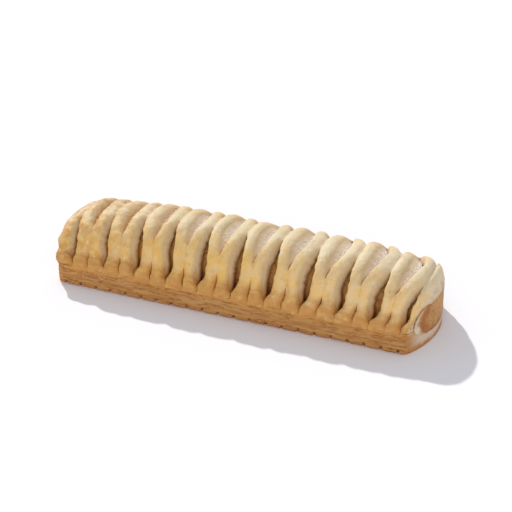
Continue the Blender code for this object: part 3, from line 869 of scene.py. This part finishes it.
def leaf_tree():
    """Draw leaves back from the base sheet's sides, press the belt marks in, then add the crust's relief."""
    tree, node, given = new_shape_tree("Leaves and belt marks", LEAF_INPUTS + RELIEF_INPUTS)
    place, side = node("position"), node("read", "side")
    along, across, height = node("separate", place)
    level = node("add", height, swelling(node, place, *LEAF_WARP, given["Seed"], 1.0))
    leaf_place = node("combine", node("divide", along, given["Leaf Run"]),
                      node("multiply", across, LEAF_CROSS_SCALE), node("divide", level, given["Leaf Height"]))
    leaf = node("ramp", node("seeded noise", leaf_place, given["Seed"], *LEAF_NOISE), *LEAF_LEVELS)
    leaf_back = node("multiply", node("subtract", 1.0, leaf), given["Leaf Depth"],
                     node("ramp", height, *LEAF_FADE), side)
    from_start = node("subtract", along, given["Mark Start"])
    step = node("round", node("divide", from_start, given["Mark Pitch"]))
    from_mark = node("absolute", node("subtract", from_start, node("multiply", step, given["Mark Pitch"])))
    half_mark = node("subtract", node("multiply", given["Mark Width"], MARK_HALF_SHARE),
                     node("multiply", height, MARK_NARROWING))
    beside = node("ramp", from_mark, node("multiply", half_mark, MARK_FLAT_SHARE), half_mark)
    above = node("ramp", height, node("multiply", given["Mark Height"], MARK_TOP_SHARE), given["Mark Height"])
    mark = node("multiply", node("subtract", 1.0, beside), node("subtract", 1.0, above), side)
    back = node("maximum", leaf_back, node("multiply", mark, given["Mark Depth"]))
    inwards = node("multiply", node("sign", across), node("multiply", back, -1.0))
    geometry = node("move", node("store", given["Geometry"], "leaf", leaf), node("combine", 0.0, inwards))
    finish_crust(node, given, geometry)
    return tree


def crumb_tree():
    """Scatter small lumpy crumbs over the torn faces."""
    tree, node, given = new_shape_tree("Torn crumbs", CRUMB_INPUTS)
    density = node("multiply", node("read", "torn"), given["Crumb Density"])
    points = node("scatter", given["Geometry"], density, given["Seed"])
    crumbs = node("instances", points["Points"], node("crumb", given["Crumb Size"], 1), points["Rotation"],
                  node("random", *CRUMB_STRETCH))
    node("result", node("material", node("realize", crumbs), given["Material"]))
    return tree


# Materials

# Patches of noise: width in metres, detail, the levels where a patch starts and is full, and any stretch
PATCHES = {
    "glaze": (0.0046, 5.0, 0.44, 0.56),
    "browned": (0.0032, 4.0, 0.56, 0.72),
    "freckles": (0.0016, 3.0, 0.55, 0.70),
    "left browned": (0.0030, 4.0, 0.36, 0.60),
    "left glints": (0.0013, 3.0, 0.54, 0.66),
    "bare crust": (0.0055, 3.0, 0.50, 0.64),
    "browned toes": (0.0032, 4.0, 0.15, 0.55),
    "gathered glaze": (0.0040, 3.0, 0.38, 0.58),
    "end dough": (0.0045, 4.0, 0.28, 0.60),
    "streaks": (0.0040, 4.0, 0.4, 0.7, (0.5, 1.0, 2.0)),
    "specks": (0.0010, 3.0, 0.50, 0.66),
    "smeared dough": (0.0035, 4.0, 0.10, 0.56),
}
# Where something starts and is full, along the roll and up from the floor
ALONG = {"left": (-0.015, -0.078), "left flanks": (-0.015, -0.050), "right": (-0.010, 0.055),
         "left filling": (-0.015, -0.055), "right filling": (0.010, 0.055)}
HEIGHTS = {"bottom edge": (0.0030, 0.0), "toe browning": (0.0078, 0.0102), "bare end": (0.0022, 0.0052),
           "filling shade": (0.0190, 0.0110)}
HEIGHT_UNEVENNESS = 0.004
# The same over the roof, in millimetres from the edge of the sheet
ARCS = {"ridge": (14.5, 33.0), "toe": (10.5, 1.0), "gathered glaze": (30.0, 16.0), "above toe": (4.0, 10.0),
        "browned shoulder": (24.0, 33.0), "paler slit": (9.0, 24.0), "ridge slit": (14.0, 21.0)}
# The same across a strand, from left to right, and down a slit's wall
ACROSS = {"left edge": (0.36, 0.02), "browned shoulder": (0.78, 0.97), "bare shoulder": (0.66, 0.96)}
DOWN_WALL = {"edge": (0.0, 0.25), "bottom": (0.15, 0.95)}
# Unevenness of the arcs: width of the noise, its size in millimetres, and its share at the toes
ARC_UNEVENNESS = (0.0045, 34.0, 0.27)
# Oval of filling at the cut end: half its width, the height of its middle and half its own height. Noise
# makes its edge and its browned rim uneven, by a width, a detail and a share for each
OVAL = (0.0142, 0.0110, 0.0080)
OVAL_UNEVENNESS = ((0.003, 2.0, 0.5), (0.0024, 3.0, 1.2))
# Where each rim starts and is full, outwards from the oval's middle, and so for the attributes end and crest
BROWNED_RIM = (1.10, 1.80)
SMEARED_RIM = (1.30, 1.72)
FILLING_END = (0.2, 0.8)
FILLING_CREST = (0.80, 0.96)


def new_material(name, roughness, specular):
    material = bpy.data.materials.new(name)
    material.use_nodes = True
    inputs = material.node_tree.nodes["Principled BSDF"].inputs
    inputs["Roughness"].default_value = roughness
    inputs["Specular IOR Level"].default_value = specular
    return material, partial(add_node, material.node_tree), inputs


def finish_material(material, node, inputs, colour, fine, depth):
    """Give the material its colour and its finest relief, up to the given depth in metres."""
    links = material.node_tree.links
    links.new(colour, inputs["Base Color"])
    links.new(node("bump", fine, 1.0, depth), inputs["Normal"])
    return material


def shader_noise(node, size, detail=2.0, stretch=(1.0, 1.0, 1.0)):
    """Noise of the given width in metres, between about nought and one."""
    return node("noise", node("mapping", node("coordinates"), stretch), 1 / size, detail)


def patches(node, name):
    size, detail, start, full, *stretch = PATCHES[name]
    return node("ramp", shader_noise(node, size, detail, *stretch), start, full)


def coats(node, colour, layers):
    """Lay colours over the first one in turn, each as strongly as the product of its shares."""
    for over, *shares in layers:
        share = node("multiply", *shares) if len(shares) > 1 else shares[0]
        colour = node("mix", share, colour, over)
    return colour


def lattice_material(colours):
    """Glazed puff pastry: golden flats, a pale ridge, flanks that darken into the slits with browning and
    painted shade, and browner toes.
    """
    material, node, inputs = new_material("Glazed puff pastry", roughness=0.55, specular=0.2)
    glaze, deep, pale, cream = colours.glaze, colours.deep_glaze, colours.pale, colours.cream
    flank, slit, toe, dough = colours.flank, colours.slit, colours.toe, colours.dough
    arc, across, opened, wall, torn, in_ridge_slit, end, knob = (
        node("attribute", attribute_name=name)
        for name in ("arc", "across", "open", "wall", "torn", "ridge_slit", "end", "knob"))
    along = node("separate", node("coordinates"))["X"]
    leftness = node("ramp", along, *ALONG["left"])
    size, height, toe_share = ARC_UNEVENNESS
    uneven = node("multiply", node("subtract", shader_noise(node, size), 0.5), height)
    ridge_arcs = node("add", arc, uneven)
    toe_arcs = node("add", arc, node("multiply", uneven, toe_share))
    low_flank = node("mix", node("ramp", arc, *ARCS["above toe"]), toe, flank)
    # Golden glaze lies in patches, with paler crust between them that takes over towards the ridge
    colour = node("mix", patches(node, "glaze"), node("mix", 0.33, glaze, pale), glaze)
    colour = coats(node, colour, (
        (deep, patches(node, "browned"), 0.75),
        (pale, node("ramp", ridge_arcs, *ARCS["ridge"]), 0.88),
        (glaze, patches(node, "freckles"), 0.3),
        # The roll has browned more at its left end, and stayed paler towards the right
        (deep, patches(node, "left browned"), leftness, 0.7),
        (cream, patches(node, "left glints"), leftness, 0.28),
        (cream, node("ramp", along, *ALONG["right"]), 0.18),
        # Pinkish beige shows through the pale crust in places
        (flank, patches(node, "bare crust"), 0.26),
        (toe, node("ramp", toe_arcs, *ARCS["toe"]), patches(node, "browned toes"), 0.95),
        # Glaze has gathered along the left edge of each strand
        (node("mix", 0.45, glaze, deep), node("ramp", across, *ACROSS["left edge"]),
         node("ramp", arc, *ARCS["gathered glaze"]), patches(node, "gathered glaze"), 0.6),
        # Each strand's right shoulder has browned along the ridge, and is bare where it slopes into a slit
        (deep, node("ramp", across, *ACROSS["browned shoulder"]),
         node("ramp", arc, *ARCS["browned shoulder"]), 0.22),
        (low_flank, node("ramp", across, *ACROSS["bare shoulder"]), opened, 0.75),
    ))
    # Flanks: beige under the edge, then browned and darkened with painted shade towards the bottoms of the
    # side slits and the ridge slits, and torn and whitish in the ridge slits
    left = node("ramp", along, *ALONG["left flanks"])
    browned_and_shaded_bottom = coats(node, slit, ((deep, left), (low_flank, node("ramp", arc, *ARCS["paler slit"]))))
    side_wall = node("mix", node("ramp", wall, *DOWN_WALL["bottom"]), low_flank, browned_and_shaded_bottom)
    bare_flank = node("mix", left, node("mix", 0.35, flank, dough), node("mix", 0.4, deep, flank))
    ridge_wall = coats(node, slit, ((bare_flank, node("ramp", arc, *ARCS["ridge slit"])), (dough, torn)))
    walls = node("mix", in_ridge_slit, side_wall, ridge_wall)
    colour = coats(node, colour, (
        (walls, node("ramp", wall, *DOWN_WALL["edge"])),
        (node("mix", patches(node, "end dough"), dough, flank), end, 0.9),
        (slit, knob),
    ))
    fine = shader_noise(node, size=0.0011, detail=5.0)
    return finish_material(material, node, inputs, colour, fine, depth=0.00036)


def base_material(colours):
    """Baked sides of puff pastry: thin leaves in uneven browns, a browner bottom edge and pale cut ends."""
    material, node, inputs = new_material("Laminated puff pastry", roughness=0.7, specular=0.25)
    height = node("separate", node("coordinates"))["Z"]
    uneven = shader_noise(node, size=0.004, detail=3.0)
    uneven_height = node("add", height, node("multiply", uneven, HEIGHT_UNEVENNESS))
    colour = coats(node, colours.base, (
        (colours.base_light, node("attribute", attribute_name="leaf")),
        (colours.base, patches(node, "streaks"), 0.6),
        (colours.base_dark, node("ramp", height, *HEIGHTS["bottom edge"])),
        # The top of the side has browned like the toes that are baked onto it
        (colours.toe, node("ramp", uneven_height, *HEIGHTS["toe browning"])),
        (colours.dough, node("ramp", uneven_height, *HEIGHTS["bare end"]),
         node("attribute", attribute_name="end"), 0.6),
    ))
    fine = shader_noise(node, size=0.0005, detail=4.0, stretch=(0.4, 1.0, 2.5))
    return finish_material(material, node, inputs, colour, fine, depth=0.00015)


def filling_material(colours):
    """Baked filling: orange-brown at the cut end with darker specks, and deep brown between the strands,
    darker lower down with painted shade.
    """
    material, node, inputs = new_material("Baked filling", roughness=0.6, specular=0.3)
    filling, dark, flank = colours.filling, colours.filling_dark, colours.flank
    along, across, height = node("separate", node("coordinates"))
    shaded = node("multiply", node("ramp", height, *HEIGHTS["filling shade"]), 0.45)
    end = node("ramp", node("attribute", attribute_name="end"), *FILLING_END)
    half_oval, oval_middle, half_height = OVAL
    oval_noise, rim_noise = (node("multiply", shader_noise(node, size, detail), share)
                             for size, detail, share in OVAL_UNEVENNESS)
    upward = node("divide", node("subtract", height, oval_middle), half_height)
    sideways = node("divide", across, half_oval)
    oval = node("add", node("power", sideways, 2.0), node("power", upward, 2.0), oval_noise)
    colour = coats(node, filling, (
        # The skin is a little darker than the filling colour all over, and darker still lower down, where
        # that is painted shade for the depths between the strands
        (dark, node("add", shaded, 0.25)),
        (filling, node("ramp", along, *ALONG["right filling"]), 0.4),
        (filling, node("ramp", along, *ALONG["left filling"]), 0.7),
        (node("mix", 0.10, filling, flank), end),
        (dark, patches(node, "specks"), 0.6),
        # Dough clings to the top of the log, and is smeared round the oval of filling at the cut end
        (flank, node("ramp", node("attribute", attribute_name="crest"), *FILLING_CREST), 0.9),
        (colours.filling_rim, node("ramp", node("add", oval, rim_noise), *BROWNED_RIM), end, 0.75),
        (node("mix", patches(node, "smeared dough"), colours.dough, flank),
         node("ramp", oval, *SMEARED_RIM), end),
    ))
    fine = shader_noise(node, size=0.0009, detail=4.0)
    return finish_material(material, node, inputs, colour, fine, depth=0.0003)


def plain_material(name, colour, roughness, specular):
    material, _, inputs = new_material(name, roughness, specular)
    inputs["Base Color"].default_value = colour
    return material


# Operators

def show_as(made, node):
    """Let a finished piece stand for the node of that name: attach it to the root body and hide that node's
    part.
    """
    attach(made, "root")
    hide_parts(node)


class OBJECT_OT_roll_stage(Operator):
    """Lay the floor, hang the lights and set the camera"""
    bl_idname = "object.roll_stage"
    bl_label = "Make the stage"

    def execute(self, context):
        scene = context.scene
        stage = scene.roll_stage
        floor_mesh = bpy.data.meshes.new("floor")
        corners = [(x * FLOOR_HALF_SIZE, y * FLOOR_HALF_SIZE, 0)
                   for x, y in ((-1, -1), (1, -1), (1, 1), (-1, 1))]
        floor_mesh.from_pydata(corners, [], [(0, 1, 2, 3)])
        # The floor is plain, pale and matt, so it shows only the roll's shadow
        floor_mesh.materials.append(plain_material("Pale floor", stage.floor, roughness=0.9, specular=0.1))
        floor = bpy.data.objects.new("floor", floor_mesh)
        camera_data = bpy.data.cameras.new("camera")
        camera_data.lens = stage.lens
        camera_data.sensor_width = SENSOR_WIDTH
        camera = bpy.data.objects.new("camera", camera_data)
        target = Vector(CAMERA_TARGET)
        flat = math.cos(stage.elevation)
        outward = Vector((math.sin(stage.azimuth) * flat, -math.cos(stage.azimuth) * flat,
                          math.sin(stage.elevation)))
        camera.location = target + outward * stage.distance
        camera.rotation_euler = (-outward).to_track_quat("-Z", "Y").to_euler()
        lights = []
        for name, strength, (direction, spread) in (("key", stage.key_strength, KEY),
                                                    ("front fill", stage.front_strength, FRONT)):
            light = bpy.data.lights.new(name, "SUN")
            light.energy = strength
            light.angle = spread
            lights.append(bpy.data.objects.new(name, light))
            lights[-1].rotation_euler = Vector(direction).to_track_quat("-Z", "Y").to_euler()
        for made in (floor, *lights, camera):
            scene.collection.objects.link(made)
        scene.camera = camera
        world = bpy.data.worlds.new("soft light")
        world.use_nodes = True
        background = world.node_tree.nodes["Background"]
        background.inputs["Color"].default_value = SOFT_LIGHT
        background.inputs["Strength"].default_value = stage.fill_strength
        scene.world = world
        scene.view_settings.view_transform = "Standard"
        return {"FINISHED"}


class OBJECT_OT_roll_base(Operator):
    """Make the base sheet of puff pastry"""
    bl_idname = "object.roll_base"
    bl_label = "Make the base sheet"

    def execute(self, context):
        made = make_base_mesh("base_sheet")
        material = base_material(context.scene.roll_colours)
        apply_tree(made, leaf_tree(), context.scene.roll_sizes, material, BASE_BLISTER_SHARE)
        show_as(made, "base_pastry")
        return {"FINISHED"}


class OBJECT_OT_roll_filling(Operator):
    """Make the log of filling"""
    bl_idname = "object.roll_filling"
    bl_label = "Make the filling"

    def execute(self, context):
        made = make_filling_mesh("filling_log")
        material = filling_material(context.scene.roll_colours)
        apply_tree(made, crust_tree(), context.scene.roll_sizes, material)
        show_as(made, "filling")
        return {"FINISHED"}


class OBJECT_OT_roll_lattice(Operator):
    """Make the glazed lattice sheet and the torn crumbs in its slits"""
    bl_idname = "object.roll_lattice"
    bl_label = "Make the lattice sheet"

    def execute(self, context):
        sizes, colours = context.scene.roll_sizes, context.scene.roll_colours
        made = LatticeMesh().make_object("lattice_sheet")
        apply_tree(made, crust_tree(), sizes, lattice_material(colours))
        crumbs = bpy.data.objects.new("torn_crumbs", made.data.copy())
        context.scene.collection.objects.link(crumbs)
        # Torn dough is soft, whitish and matt
        dough = plain_material("Torn dough", colours.crumb, roughness=0.85, specular=0.2)
        apply_tree(crumbs, crumb_tree(), sizes, dough)
        show_as(made, "lattice_pastry")
        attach(crumbs, "root")
        return {"FINISHED"}


class VIEW3D_PT_sausage_roll(Panel):
    bl_label = "Sausage roll"
    bl_space_type = "VIEW_3D"
    bl_region_type = "UI"
    bl_category = "Sausage roll"

    def draw(self, context):
        scene = context.scene
        for label, group in (("Sizes", scene.roll_sizes), ("Colours", scene.roll_colours),
                             ("Stage", scene.roll_stage)):
            box = self.layout.box()
            box.label(text=label)
            for name in group.__annotations__:
                box.prop(group, name)
        for operator in OPERATORS:
            self.layout.operator(operator.bl_idname)


OPERATORS = (OBJECT_OT_roll_stage, OBJECT_OT_roll_base, OBJECT_OT_roll_filling, OBJECT_OT_roll_lattice)
GROUPS = {"roll_sizes": RollSizes, "roll_colours": RollColours, "roll_stage": StageSettings}


def register():
    for cls in (*GROUPS.values(), *OPERATORS, VIEW3D_PT_sausage_roll):
        bpy.utils.register_class(cls)
    for name, group in GROUPS.items():
        setattr(bpy.types.Scene, name, PointerProperty(type=group))


def unregister():
    for name in GROUPS:
        delattr(bpy.types.Scene, name)
    for cls in (VIEW3D_PT_sausage_roll, *reversed(OPERATORS), *GROUPS.values()):
        bpy.utils.unregister_class(cls)


def main():
    register()
    bpy.ops.object.roll_stage()
    bpy.ops.object.roll_base()
    bpy.ops.object.roll_filling()
    bpy.ops.object.roll_lattice()


if __name__ == "__main__":
    main()
